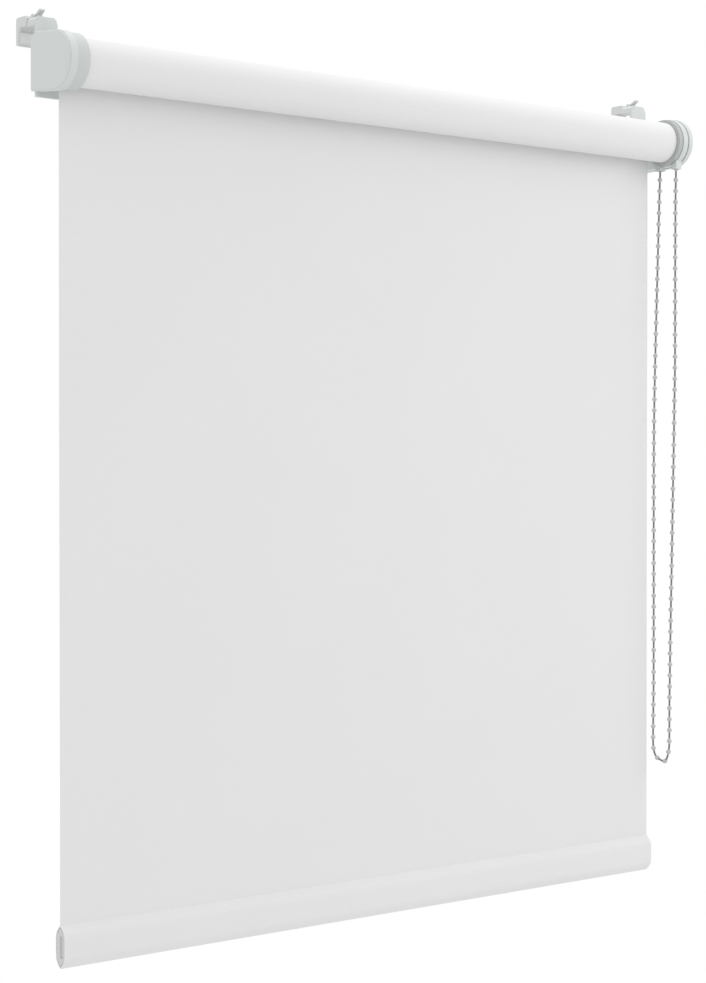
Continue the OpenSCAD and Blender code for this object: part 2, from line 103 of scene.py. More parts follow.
# %% [markdown]
# ## Grids into meshes
# Nearly every new piece here is a grid of points: rows along one parameter, columns along another. One helper
# turns such a grid into faces. It can close the grid on itself in the column direction, as a tube needs, and
# shut the two open ends with a fan. Whole arrays are handed over at once, with no loop over vertices.

# %% Mesh helpers
def circle(count):
    """Angles of count points spaced evenly round a full turn."""
    return np.linspace(0, 2 * math.pi, count, endpoint=False)


def quads(rows, cols, wrap=False, start=0):
    """Corner numbers of each cell of a rows by cols grid; with wrap, the last column joins the first."""
    row = np.arange(rows - 1)[:, None]
    col = np.arange(cols if wrap else cols - 1)[None, :]
    after = (col + 1) % cols
    corners = [row * cols + col, row * cols + after, (row + 1) * cols + after, (row + 1) * cols + col]
    return np.stack([np.broadcast_to(c, (rows - 1, col.size)) for c in corners], -1).reshape(-1, 4) + start


def build(name, points, faces, body, uv=None):
    """A smooth mesh object from points and faces, riding on body; uv is each point's place on the cloth."""
    mesh = bpy.data.meshes.new(name)
    mesh.from_pydata(np.asarray(points).reshape(-1, 3).tolist(), [], [list(map(int, f)) for f in faces])
    mesh.validate()
    if uv is not None:
        corner = np.zeros(len(mesh.loops), np.int32)
        mesh.loops.foreach_get("vertex_index", corner)
        layer = mesh.uv_layers.new(name="cloth")
        layer.data.foreach_set("uv", np.asarray(uv, np.float32).reshape(-1, 2)[corner].ravel())
    mesh.shade_smooth()
    piece = bpy.data.objects.new(name, mesh)
    bpy.context.scene.collection.objects.link(piece)
    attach(piece, body)
    return piece


def recalculated(piece, weld=0.0):
    """Turns all faces outwards on a closed piece made of grids; weld first joins points closer than this."""
    shape = bmesh.new()
    shape.from_mesh(piece.data)
    if weld:
        bmesh.ops.remove_doubles(shape, verts=shape.verts, dist=weld)
    bmesh.ops.recalc_face_normals(shape, faces=shape.faces)
    shape.to_mesh(piece.data)
    shape.free()
    return piece


def sharp_above(piece, degrees):
    """Keeps edges that turn by more than this angle crisp, and smooths the rest."""
    piece.data.set_sharp_from_angle(angle=math.radians(degrees))


def closed_tube(name, rings, body, uv=None):
    """A skin through rings of points (stations, around, 3), with a centre point closing each end."""
    stations, around = rings.shape[:2]
    middle = rings[[0, -1]].mean(axis=1)
    points = np.concatenate([rings.reshape(-1, 3), middle])
    first, last = stations * around, stations * around + 1
    turn = np.arange(around)
    after = (turn + 1) % around
    start_fan = np.stack([turn, np.full(around, first), after], 1)
    end_base = (stations - 1) * around
    end_fan = np.stack([end_base + after, np.full(around, last), end_base + turn], 1)
    faces = list(quads(stations, around, wrap=True)) + list(start_fan) + list(end_fan)
    if uv is not None:
        uv = np.concatenate([uv.reshape(-1, 2), uv[[0, -1]].mean(axis=1)])
    return recalculated(build(name, points, faces, body, uv))


def closed_pair(name, outer, inner, body, uv, around=False):
    """A wall between two grids of the same shape. With around, both close on themselves, as a sleeve does."""
    rows, cols = outer.shape[:2]
    points = np.concatenate([outer.reshape(-1, 3), inner.reshape(-1, 3)])
    back = rows * cols
    faces = [quads(rows, cols, around), quads(rows, cols, around, back)[:, ::-1]]
    col = np.arange(cols if around else cols - 1)
    after = (col + 1) % cols
    for row in (0, rows - 1):
        faces.append(np.stack([row * cols + col, row * cols + after, back + row * cols + after,
                               back + row * cols + col], 1))
    if not around:
        row = np.arange(rows - 1)
        for c in (0, cols - 1):
            faces.append(np.stack([row * cols + c, (row + 1) * cols + c, back + (row + 1) * cols + c,
                                   back + row * cols + c], 1))
    uv = np.concatenate([uv.reshape(-1, 2), uv.reshape(-1, 2)])
    return recalculated(build(name, points, np.concatenate(faces), body, uv))


# %% [markdown]
# ## The bead chain
# The chain is a thin braided cord with beads moulded on it at one fixed pitch, closed into a loop. It hangs
# from the two outlets under the chain guard, down the room side, round a narrow bend, and up again. The route
# is the same list of points as in the CAD source: how far towards the window and how far up each lies from
# the roller axis, in millimetres. A Catmull-Rom curve runs through them.

# %% Chain route
CHAIN_ROUTE = np.array([
    [-8.9, -15], [-8.8, -23], [-8.3, -50], [-8.1, -100], [-8.1, -150], [-8, -190], [-7.3, -225],
    [-6.7, -260], [-5.9, -295], [-5.2, -330], [-4.6, -360], [-3.9, -390], [-3.3, -420], [-2.8, -450],
    [-2.4, -475], [-2.4, -497], [-2.1, -508.5], [0, -516.8], [3, -520.6], [7.4, -519.9], [12.4, -517.6],
    [15.2, -512.5], [16.1, -505], [16, -490], [15.6, -450], [15.6, -400], [15.7, -350], [15.8, -300],
    [15.7, -250], [15.2, -215], [14, -170], [12.7, -130], [11.4, -90], [9.9, -45], [9.1, -25],
    [8.9, -15]], float)
CORD_D = 1.6 * MM
BEAD_D = 4.2 * MM
BEAD_PITCH = 9.25 * MM
FIRST_BEAD_SHIFT = 0.8 * MM
CURVE_STEPS = 6
beads_low, beads_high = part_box("chain_beads")
chain_x = (beads_low.x + beads_high.x) / 2


def smooth_line(points, steps):
    """Catmull-Rom curve: between two points, a cubic that leaves and arrives along its neighbours' chord."""
    before = np.concatenate([points[:1], points[:-2]])
    a, b = points[:-1], points[1:]
    beyond = np.concatenate([points[2:], points[-1:]])
    u = (np.arange(steps) / steps)[None, :, None]
    before, a, b, beyond = (p[:, None, :] for p in (before, a, b, beyond))
    curve = 0.5 * (2 * a + (b - before) * u + (2 * before - 5 * a + 4 * b - beyond) * u ** 2
                   + (3 * a - before - 3 * b + beyond) * u ** 3)
    return np.concatenate([curve.reshape(-1, points.shape[1]), points[-1:]])


flat_line = smooth_line(CHAIN_ROUTE, CURVE_STEPS) * MM
chain_line = np.stack([np.full(len(flat_line), chain_x), axis_y + flat_line[:, 0],
                       axis_z + flat_line[:, 1]], 1)
chain_s = np.concatenate([[0], np.cumsum(np.linalg.norm(np.diff(chain_line, axis=0), axis=1))])
chain_length = float(chain_s[-1])
print(f"the chain's free part is {chain_length:.3f} m long")

# %% [markdown]
# ### Cord
# The cord is a tube swept along the route. At each station a ring stands square to the line: one of its axes
# is X, because the loop lies in one plane, and the other is square to both.

# %% Chain cord
def directions(line):
    """Unit direction of a line at each of its points, from the points on either side."""
    d = np.gradient(line, axis=0)
    return d / np.linalg.norm(d, axis=1, keepdims=True)


chain_dir = directions(chain_line)
SIDEWAYS = np.array([1.0, 0.0, 0.0])
chain_out = np.cross(chain_dir, SIDEWAYS)
CORD_SIDES = 10
turn = circle(CORD_SIDES)
ring = np.cos(turn)[None, :, None] * SIDEWAYS + np.sin(turn)[None, :, None] * chain_out[:, None, :]
cord_rings = chain_line[:, None, :] + CORD_D / 2 * ring
cord_uv = np.stack(np.broadcast_arrays(turn[None, :] * CORD_D / 2, chain_s[:, None]), -1)
chain_cord = closed_tube("chain_line", cord_rings, "frame", cord_uv)
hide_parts("chain_cord")
print("cord faces:", len(chain_cord.data.polygons))

# %% [markdown]
# ### Beads
# A bead is a ball with a short neck where the cord goes in, left by the mould. It is a profile turned about
# the cord. All beads are one mesh: the profile's points are worked out once and carried to every place along
# the chain by one array product. There are over a hundred, so each has only a few dozen faces.

# %% Chain beads
BEAD_SIDES = 10
BEAD_RING_ANGLES = np.radians([22, 50, 78, 102, 130, 158])
NECK_REACH, NECK_R = 2.35 * MM, 0.8 * MM
ROUNDING = 0.1 * MM
bead_count = int((chain_length + ROUNDING) // BEAD_PITCH)
first_bead = FIRST_BEAD_SHIFT + (chain_length - (bead_count - 1) * BEAD_PITCH) / 2
bead_s = first_bead + BEAD_PITCH * np.arange(bead_count)
bead_s = bead_s[bead_s < chain_length - BEAD_D / 2]


def along_chain(values, s):
    """Values of a line's arrays at the lengths s."""
    return np.stack([np.interp(s, chain_s, values[:, k]) for k in range(3)], 1)


ball = np.stack([-np.cos(BEAD_RING_ANGLES), np.sin(BEAD_RING_ANGLES)], 1) * BEAD_D / 2
profile = np.concatenate([[[-NECK_REACH, NECK_R]], ball, [[NECK_REACH, NECK_R]]])
turn = circle(BEAD_SIDES)
centre, heading = along_chain(chain_line, bead_s), along_chain(chain_dir, bead_s)
heading /= np.linalg.norm(heading, axis=1, keepdims=True)
outward = np.cross(heading, SIDEWAYS)
around = (np.cos(turn)[None, None, :, None] * SIDEWAYS
          + np.sin(turn)[None, None, :, None] * outward[:, None, None, :])
bead_points = (centre[:, None, None, :] + profile[None, :, None, :1] * heading[:, None, None, :]
               + profile[None, :, None, 1:] * around)
one = list(quads(len(profile), BEAD_SIDES, wrap=True))
one += [np.arange(BEAD_SIDES)[::-1], (len(profile) - 1) * BEAD_SIDES + np.arange(BEAD_SIDES)]
per_bead = len(profile) * BEAD_SIDES
bead_faces = [face + per_bead * i for i in range(len(bead_s)) for face in one]
beads = recalculated(build("chain_balls", bead_points, bead_faces, "frame"))
sharp_above(beads, degrees=50)
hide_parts("chain_beads")
print(len(bead_s), "beads of", len(one), "faces")

# %% [markdown]
# ## The wound cloth
# Seen from the end, a roll of cloth is a stack of turns whose edges never line up quite exactly. The profile
# here goes up one end face in small steps, one for each turn, along the roll, and down the other end. It is
# turned about the axis. Each turn's edge is pushed in by a small seeded amount.

# %% Roll
SEAM_WELD = 1e-7


def turned(name, profile, sides, body):
    """A closed profile of (x, radius) points turned about the roller axis; UV is along and round it."""
    turn = np.linspace(0, 2 * math.pi, sides + 1)
    x, r = profile[:, 0][:, None], profile[:, 1][:, None]
    points = np.stack(np.broadcast_arrays(x, axis_y + r * np.cos(turn), axis_z + r * np.sin(turn)), -1)
    uv = np.stack(np.broadcast_arrays(x, roll_r * turn[None, :]), -1)
    rows, cols = points.shape[:2]
    faces = quads(rows, cols)
    closing = quads(2, cols)
    closing = np.where(closing >= cols, closing - cols, closing + (rows - 1) * cols)
    piece = build(name, points, np.concatenate([faces, closing]), body, uv)
    return recalculated(piece, weld=SEAM_WELD)


rng = np.random.default_rng(7)
CLOTH_T = 0.35 * MM
CORE_R = 12.75 * MM
NOTCH_W, NOTCH_DEPTH = 0.04 * MM, 0.18 * MM
MOST_PUSH = 0.28
FACE_INSET, RUN_INSET = 0.3 * MM, 1.5 * MM
ROLL_SIDES, RUN_STEPS = 144, 60
WAVE, WAVELENGTHS = 0.03 * MM, (0.23, 0.071)
turns = int((roll_r - CORE_R) / CLOTH_T)
steps = np.linspace(CORE_R, roll_r, turns + 1)


def end_face(x_edge, inwards):
    """Profile up an end of the roll: each turn is a narrow land with a small notch before the next."""
    push = rng.uniform(0.0, MOST_PUSH, turns) * MM * inwards
    radius = np.stack([steps[:-1] + NOTCH_W, steps[1:] - NOTCH_W, steps[1:]], 1)
    x = np.stack([x_edge + push, x_edge + push, x_edge + push + NOTCH_DEPTH * inwards], 1)
    return np.stack([x.ravel(), radius.ravel()], 1)[:-1]


left_end, right_end = end_face(left_x + FACE_INSET, 1), end_face(right_x - FACE_INSET, -1)[::-1]
run = np.linspace(left_x + RUN_INSET, right_x - RUN_INSET, RUN_STEPS)
slow, quick = (np.sin(2 * math.pi * (run - left_x) / wavelength) for wavelength in WAVELENGTHS)
outer_run = np.stack([run, roll_r - NOTCH_W + WAVE * slow * quick], 1)
roll = turned("cloth_roll", np.concatenate([left_end, outer_run, right_end]), ROLL_SIDES, "roller")
sharp_above(roll, degrees=40)
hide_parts("fabric_roll")
print(turns, "turns of cloth show at each end;", len(roll.data.polygons), "faces")

# %% [markdown]
# ## The last turn and the hanging cloth
# The cloth leaves the roll at the back, so from the room the roll is in front. The last turn lies on the
# roll and its edge tapers away underneath. Where it leaves the roll, it becomes the flat drop. Good blind
# cloth is stiff and hangs almost flat: the drop has only a very shallow cupping from side to side, which dies
# out at the roll and at the bar.

# %% Last turn on the roll
sheet_gap = sheet_low.y - axis_y
TURN_START, TURN_END = 8, 300
LIE_OFF = 0.06 * MM
EDGE_THINNING = 0.7
TURN_COLUMNS, TURN_STEPS = 80, 120
turn_angle = np.radians(np.linspace(0, TURN_END, TURN_STEPS))
fade = np.clip((np.degrees(turn_angle) - TURN_START) / (TURN_END - TURN_START), 0, 1)
r_in = sheet_gap + (roll_r + LIE_OFF - sheet_gap) * fade ** 0.5
r_out = r_in + CLOTH_T * (1 - EDGE_THINNING * fade)
turn_x = np.linspace(left_x, right_x, TURN_COLUMNS)


def wrapped(radius):
    """Grid along the roll and round it: x by angle, at a radius that changes with the angle."""
    return np.stack(np.broadcast_arrays(turn_x[:, None], axis_y + radius * np.cos(turn_angle),
                                        axis_z + radius * np.sin(turn_angle)), -1)


turn_uv = np.stack(np.broadcast_arrays(turn_x[:, None], turn_angle[None, :] * roll_r), -1)
last_turn = closed_pair("cloth_last_turn", wrapped(r_out), wrapped(r_in), "frame", turn_uv)
sharp_above(last_turn, degrees=50)
print(f"the last turn covers {TURN_END} degrees")

# %% Hanging cloth
SHEET_COLUMNS, SHEET_ROWS = 110, 130
drop = sheet_high.z - sheet_low.z
sheet_x = np.linspace(left_x, right_x, SHEET_COLUMNS)[:, None]
sheet_z = np.linspace(sheet_high.z, sheet_low.z, SHEET_ROWS)[None, :]
across = (sheet_x - left_x) / cloth_w
down = (sheet_high.z - sheet_z) / drop


def cupping(u, v):
    """Depth of the cloth's shallow waves at (u, v), across and down: hold times a broad cup, a slanting swell
    and a small ripple. hold is nothing at the roll and the bar."""
    hold = np.sin(math.pi * np.clip(v, 0, 1)) ** 0.8
    cup = 0.55 * MM * np.sin(math.pi * u)
    swell = 0.22 * MM * np.sin(5.3 * u + 2.1 * v) * np.sin(3.7 * v + 1.0)
    return hold * (cup + swell + 0.10 * MM * np.sin(17 * u + 4 * v))


front = np.stack(np.broadcast_arrays(sheet_x, sheet_low.y + cupping(across, down), sheet_z), -1)
back = front + np.array([0, CLOTH_T, 0])
sheet_uv = np.stack(np.broadcast_arrays(sheet_x, sheet_high.z - sheet_z), -1)
sheet = closed_pair("cloth_drop", front, back, "frame", sheet_uv)
sharp_above(sheet, degrees=50)
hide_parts("fabric_sheet")
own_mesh(sheet)

# %% [markdown]
# ## The hem
# The bottom edge of the cloth is folded round the bar and welded to itself. In section it is a flat-sided
# pointed lens: the bar fills the middle, and the cloth runs together above and below it. The profile gives
# each height a half thickness: the smaller of the bar's flat side and two arcs that meet in a point.

# %% Hem pocket
hem_h, hem_t = hem_high.z - hem_low.z, hem_high.y - hem_low.y
hem_y, hem_z = (hem_high.y + hem_low.y) / 2, (hem_high.z + hem_low.z) / 2
FULLER = 1.35
SOFT = 0.45 * MM
HEM_SKIN = 0.42 * MM
HEM_TIP, INSIDE_TIP = 0.52 * CLOTH_T, 0.2 * CLOTH_T
TIP_OVERLAP = 0.05 * MM
HEM_COLUMNS, HEM_STEPS = 120, 46


def half_thickness(z, height, thickness, least):
    """Half width of the lens at height z: arcs through both tips, blended softly into the flat side. The arcs
    alone would be FULLER times as thick as the bar's flat side, and no place is thinner than least."""
    full = FULLER * thickness
    arc = (height ** 2 + full ** 2) / (4 * full)
    bowed = np.sqrt(np.maximum(arc ** 2 - z ** 2, 0)) - (arc - full / 2)
    flat = thickness / 2
    return np.maximum(-SOFT * np.log(np.exp(-bowed / SOFT) + np.exp(-flat / SOFT)), least)


def hem_loop(height, thickness, least, reach=0.0):
    """Closed outline of the hem as (y, z), up the room side and down the other. reach lengthens the top."""
    t = np.linspace(0, math.pi, HEM_STEPS)
    z = -np.cos(t) * height / 2
    w = half_thickness(z, height, thickness, least)
    z[-1] += reach
    up, down_again = np.stack([-w, z], 1), np.stack([w, z], 1)[::-1]
    return np.concatenate([up, down_again])


hem_x = np.linspace(left_x, right_x, HEM_COLUMNS)
outline = hem_loop(hem_h, hem_t, HEM_TIP, reach=sheet_low.z - hem_high.z + TIP_OVERLAP)
inside = hem_loop(hem_h - 4 * HEM_SKIN, hem_t - 2 * HEM_SKIN, INSIDE_TIP)
ripple = 0.05 * MM * np.sin(hem_x * 31) + 0.04 * MM * np.sin(hem_x * 83 + 1)
swelling = 1.02 + 0.006 * np.sin(hem_x * 47)


def hem_grid(loop):
    """Carries an outline along the bar, with a slow ripple in its thickness and in how far it leans."""
    lean = ripple[:, None] * np.cos(math.pi * loop[None, :, 1] / hem_h)
    y = hem_y + loop[None, :, 0] * swelling[:, None] + lean
    return np.stack(np.broadcast_arrays(hem_x[:, None], y, hem_z + loop[None, :, 1]), -1)


girth = np.concatenate([[0], np.cumsum(np.linalg.norm(np.diff(outline, axis=0), axis=1))])
hem_uv = np.stack(np.broadcast_arrays(hem_x[:, None], girth[None, :]), -1)
hem = closed_pair("cloth_hem", hem_grid(outline), hem_grid(inside), "hem_bar", hem_uv, around=True)
sharp_above(hem, degrees=55)
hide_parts("hem_pocket")
print(f"the hem's cloth is {girth[-1] / MM:.0f} mm round")

# %% [markdown]
# ## The idle pin's spring
# Inside the left plug a coil spring pushes the idle pin out into its bracket. A real compression spring has
# its last turn at each end closed, so that it stands square, and open turns between. The wire is a tube swept
# along a helix whose pitch eases from closed to open and back.

# %% Idle spring
spring_low, spring_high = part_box("pin_spring")
WIRE_D = 0.8 * MM
WIRE_SIDES = 10
STEPS_PER_TURN = 24
OPEN_TURNS, CLOSED_TURNS = 7, 1
CLOSED_GAP = 1.02
spring_len = spring_high.x - spring_low.x - WIRE_D
spring_r = (spring_high.y - spring_low.y - WIRE_D) / 2
total_turns = OPEN_TURNS + 2 * CLOSED_TURNS
wound = np.linspace(0, total_turns, STEPS_PER_TURN * total_turns + 1)
openness = np.clip(np.minimum(wound, total_turns - wound) - CLOSED_TURNS + 0.5, 0, 1)
closed_rise = WIRE_D * CLOSED_GAP
rise = np.concatenate([[0], np.cumsum((openness[1:] + openness[:-1]) / 2 * np.diff(wound))])
along_x = wound * closed_rise + rise / rise[-1] * (spring_len - total_turns * closed_rise)
helix = np.stack([spring_low.x + WIRE_D / 2 + along_x, axis_y + spring_r * np.cos(2 * math.pi * wound),
                  axis_z + spring_r * np.sin(2 * math.pi * wound)], 1)
wire_dir = directions(helix)
from_axis = (helix - [0, axis_y, axis_z]) * [0, 1, 1] / spring_r
wire_side = np.cross(wire_dir, from_axis)
turn = circle(WIRE_SIDES)
section = (np.cos(turn)[None, :, None] * from_axis[:, None, :]
           + np.sin(turn)[None, :, None] * wire_side[:, None, :])
spring = closed_tube("idle_spring", helix[:, None, :] + WIRE_D / 2 * section, "roller")
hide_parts("pin_spring")
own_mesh(spring)

# %% [markdown]
# ## Moulded parts
# Real moulded edges are never knife sharp. Each visible plastic part starts as a copy of the CAD part, so its
# size and holes stay true. The copy's triangles are merged into large faces, and a small bevel rounds every
# edge that turns sharply. The bevel catches the light along the rims, which flat CAD edges can't.

# %% Rounded copies of the CAD parts
WELD = 2e-6
FLAT_WITHIN, ROUND_ABOVE, SHARP_ABOVE = 1.0, 32, 38


def rounded(node, body, width):
    """A copy of a CAD part with its edges rounded by width, standing for that part."""
    mesh = frame["nodes"][node].data.copy()
    shape = bmesh.new()
    shape.from_mesh(mesh)
    bmesh.ops.remove_doubles(shape, verts=shape.verts, dist=WELD)
    bmesh.ops.dissolve_limit(shape, angle_limit=math.radians(FLAT_WITHIN), verts=shape.verts,
                             edges=shape.edges)
    shape.to_mesh(mesh)
    shape.free()
    mesh.materials.clear()
    mesh.shade_smooth()
    piece = bpy.data.objects.new(node + "_moulding", mesh)
    bpy.context.scene.collection.objects.link(piece)
    bevel = piece.modifiers.new("rounded edges", "BEVEL")
    bevel.width = width
    bevel.segments = 3
    bevel.limit_method = "ANGLE"
    bevel.angle_limit = math.radians(ROUND_ABOVE)
    bevel.use_clamp_overlap = True
    sharp_above(piece, SHARP_ABOVE)
    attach(piece, body)
    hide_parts(node)
    return piece


# Each row is a node, its body, the radius of its rounding in mm and its material slot.
MOULDINGS = [
    ("left_bracket", "frame", 0.35, "bracket_plastic"), ("right_bracket", "frame", 0.35, "bracket_plastic"),
    ("left_cover", "frame", 0.35, "cover_plastic"), ("right_cover", "frame", 0.35, "cover_plastic"),
    ("chain_guard", "frame", 0.3, "cover_plastic"), ("left_edge_ring", "frame", 0.3, "ring_plastic"),
    ("idler_plug", "roller", 0.3, "dark_plastic"), ("drive_adapter", "roller", 0.3, "dark_plastic"),
    ("left_hook", "left_hook", 0.35, "hook_plastic"), ("right_hook", "right_hook", 0.35, "hook_plastic"),
    ("left_lock_tab", "left_lock_tab", 0.2, "hook_plastic"),
    ("right_lock_tab", "right_lock_tab", 0.2, "hook_plastic"),
    ("left_bar_cap", "hem_bar", 0.2, "cap_plastic"), ("right_bar_cap", "hem_bar", 0.2, "cap_plastic")]
mouldings = {node: rounded(node, body, width * MM) for node, body, width, slot in MOULDINGS}
print("rounded parts:", ", ".join(sorted(mouldings)))

# %% [markdown]
# ## Shared surface effects
# Two effects are used by several finishes, so each is a node group with named inputs. **Moulded grain** is
# the fine texture that a spark-eroded mould leaves, with a slow change of tone and a trace of dust. **Plain
# weave** is the over and under of cloth threads with a few thicker ones. Both put out a colour, a roughness
# and a normal.

# %% Node helpers
def new_group(name, inputs, outputs):
    """An empty shader group: inputs are (name, socket type, value), outputs are (name, socket type)."""
    group = bpy.data.node_groups.new(name, "ShaderNodeTree")
    for label, kind, value in inputs:
        socket = group.interface.new_socket(name=label, in_out="INPUT", socket_type=kind)
        if value is not None:
            socket.default_value = value
    for label, kind in outputs:
        group.interface.new_socket(name=label, in_out="OUTPUT", socket_type=kind)
    return group, group.nodes.new("NodeGroupInput"), group.nodes.new("NodeGroupOutput")


def add(tree, kind, **values):
    """Adds a node. Values named after sockets, with _ for spaces, set or link them; others set properties."""
    node = tree.nodes.new(kind)
    for key, value in values.items():
        label = key.replace("_", " ")
        if label in node.inputs:
            if isinstance(value, bpy.types.NodeSocket):
                tree.links.new(value, node.inputs[label])
            else:
                node.inputs[label].default_value = value
        else:
            setattr(node, key, value)
    return node


def maths(tree, operation, *terms):
    """A Math node's result; each term is a number or a socket."""
    node = tree.nodes.new("ShaderNodeMath")
    node.operation = operation
    for place, term in enumerate(terms):
        if isinstance(term, bpy.types.NodeSocket):
            tree.links.new(term, node.inputs[place])
        else:
            node.inputs[place].default_value = term
    return node.outputs[0]


def mixed(tree, factor, first, second):
    """Blend of two colours by a factor; each is a value or a socket. A Mix node has one set of sockets for each
    kind of data, and those for colours are inputs 6 and 7 and output 2."""
    node = tree.nodes.new("ShaderNodeMix")
    node.data_type = "RGBA"
    for place, value in ((0, factor), (6, first), (7, second)):
        if isinstance(value, bpy.types.NodeSocket):
            tree.links.new(value, node.inputs[place])
        else:
            node.inputs[place].default_value = value
    return node.outputs[2]


FLOAT, COLOR, VECTOR = "NodeSocketFloat", "NodeSocketColor", "NodeSocketVector"

# %% Moulded grain group
DUST = (0.86, 0.86, 0.85, 1)


def moulded_grain():
    """Fine grain in the normal, cloudy tone, a little dust on faces that look up, and uneven gloss."""
    group, given, result = new_group(
        "moulded grain",
        [("Color", COLOR, (0.6, 0.6, 0.6, 1)), ("Shade", COLOR, (0.5, 0.5, 0.5, 1)), ("Grain", FLOAT, 3500.0),
         ("Depth", FLOAT, 0.12), ("Gloss", FLOAT, 0.45)],
        [("Color", COLOR), ("Roughness", FLOAT), ("Normal", VECTOR)])
    place = add(group, "ShaderNodeTexCoord").outputs["Object"]
    fine = add(group, "ShaderNodeTexNoise", Vector=place, Scale=given.outputs["Grain"], Detail=2.0)
    cloud = add(group, "ShaderNodeTexNoise", Vector=place, Scale=45.0, Detail=3.0)
    scuff = add(group, "ShaderNodeTexNoise", Vector=place, Scale=260.0, Detail=4.0, Roughness=0.7)
    tone = maths(group, "MULTIPLY", cloud.outputs["Fac"], 0.55)
    colour = mixed(group, tone, given.outputs["Color"], given.outputs["Shade"])
    up = add(group, "ShaderNodeSeparateXYZ", Vector=add(group, "ShaderNodeNewGeometry").outputs["Normal"])
    dust = maths(group, "MULTIPLY", maths(group, "MAXIMUM", up.outputs["Z"], 0.0),
                 maths(group, "MULTIPLY", scuff.outputs["Fac"], 0.16))
    group.links.new(mixed(group, dust, colour, DUST), result.inputs["Color"])
    uneven = maths(group, "MULTIPLY_ADD", scuff.outputs["Fac"], 0.12, given.outputs["Gloss"])
    group.links.new(uneven, result.inputs["Roughness"])
    bump = add(group, "ShaderNodeBump", Strength=given.outputs["Depth"], Distance=0.0002,
               Height=fine.outputs["Fac"])
    group.links.new(bump.outputs["Normal"], result.inputs["Normal"])
    return group


# %% Plain weave group
SLUBS_PER_METRE = (60, 1500, 1)


def plain_weave():
    """Threads over and under: the product of two cosines of the cloth's UV, with slubs from a long noise."""
    group, given, result = new_group(
        "plain weave",
        [("Cloth", VECTOR, None), ("Color", COLOR, (0.8, 0.8, 0.8, 1)), ("Shade", COLOR, (0.7, 0.7, 0.7, 1)),
         ("Threads", FLOAT, 1600.0), ("Depth", FLOAT, 0.25)],
        [("Color", COLOR), ("Roughness", FLOAT), ("Normal", VECTOR)])
    flat = add(group, "ShaderNodeSeparateXYZ", Vector=given.outputs["Cloth"])
    pitch = maths(group, "MULTIPLY", given.outputs["Threads"], 2 * math.pi)
    warp = maths(group, "COSINE", maths(group, "MULTIPLY", flat.outputs["X"], pitch))
    weft = maths(group, "COSINE", maths(group, "MULTIPLY", flat.outputs["Y"], pitch))
    cross = maths(group, "MULTIPLY", warp, weft)
    stretched = add(group, "ShaderNodeVectorMath", operation="MULTIPLY")
    group.links.new(given.outputs["Cloth"], stretched.inputs[0])
    stretched.inputs[1].default_value = SLUBS_PER_METRE
    slub = add(group, "ShaderNodeTexNoise", Vector=stretched.outputs["Vector"], Scale=1.0, Detail=2.0)
    soft = add(group, "ShaderNodeTexNoise", Vector=given.outputs["Cloth"], Scale=9.0, Detail=3.0)
    height = maths(group, "MULTIPLY_ADD", slub.outputs["Fac"], 0.8, maths(group, "MULTIPLY", cross, 0.5))
    clouds = maths(group, "MULTIPLY", soft.outputs["Fac"], 0.35)
    streaks = maths(group, "MULTIPLY_ADD", slub.outputs["Fac"], 0.35, clouds)
    tone = maths(group, "MULTIPLY_ADD", cross, -0.10, streaks)
    colour = mixed(group, tone, given.outputs["Color"], given.outputs["Shade"])
    group.links.new(colour, result.inputs["Color"])
    group.links.new(maths(group, "MULTIPLY_ADD", slub.outputs["Fac"], 0.1, 0.78), result.inputs["Roughness"])
    bump = add(group, "ShaderNodeBump", Strength=given.outputs["Depth"], Distance=0.0001, Height=height)
    group.links.new(bump.outputs["Normal"], result.inputs["Normal"])
    return group


GRAIN, WEAVE = moulded_grain(), plain_weave()
print("groups:", GRAIN.name, "and", WEAVE.name)

# %% [markdown]
# ## Finishes
# Each finish is a short function: one Principled shader fed by a group. Colours are written as display values
# from 0 to 255, the way a paint card gives them, and turned into the linear values that a shader wants.

# %% Finish helpers
def paint(red, green, blue):
    """Linear colour from display values, by the sRGB curve."""
    value = np.array([red, green, blue]) / 255
    linear = np.where(value <= 0.04045, value / 12.92, ((value + 0.055) / 1.055) ** 2.4)
    return (*linear.tolist(), 1)


def start_finish(name):
    """A new material and its Principled shader."""
    material = bpy.data.materials.new(name)
    material.use_nodes = True
    return material, material.node_tree, material.node_tree.nodes["Principled BSDF"]


def joined(tree, shader, group, **values):
    """Places a group in a material and joins its three outputs to the shader."""
    node = tree.nodes.new("ShaderNodeGroup")
    node.node_tree = group
    for label, value in values.items():
        node.inputs[label].default_value = value
    tree.links.new(node.outputs["Color"], shader.inputs["Base Color"])
    tree.links.new(node.outputs["Roughness"], shader.inputs["Roughness"])
    tree.links.new(node.outputs["Normal"], shader.inputs["Normal"])
    return node


def moulded(name, colour, shade, gloss=0.42, grain=3500.0, depth=0.12):
    """Moulded plastic of one colour."""
    material, tree, shader = start_finish(name)
    joined(tree, shader, GRAIN, Color=colour, Shade=shade, Gloss=gloss, Grain=grain, Depth=depth)
    shader.inputs["IOR"].default_value = 1.49
    return material
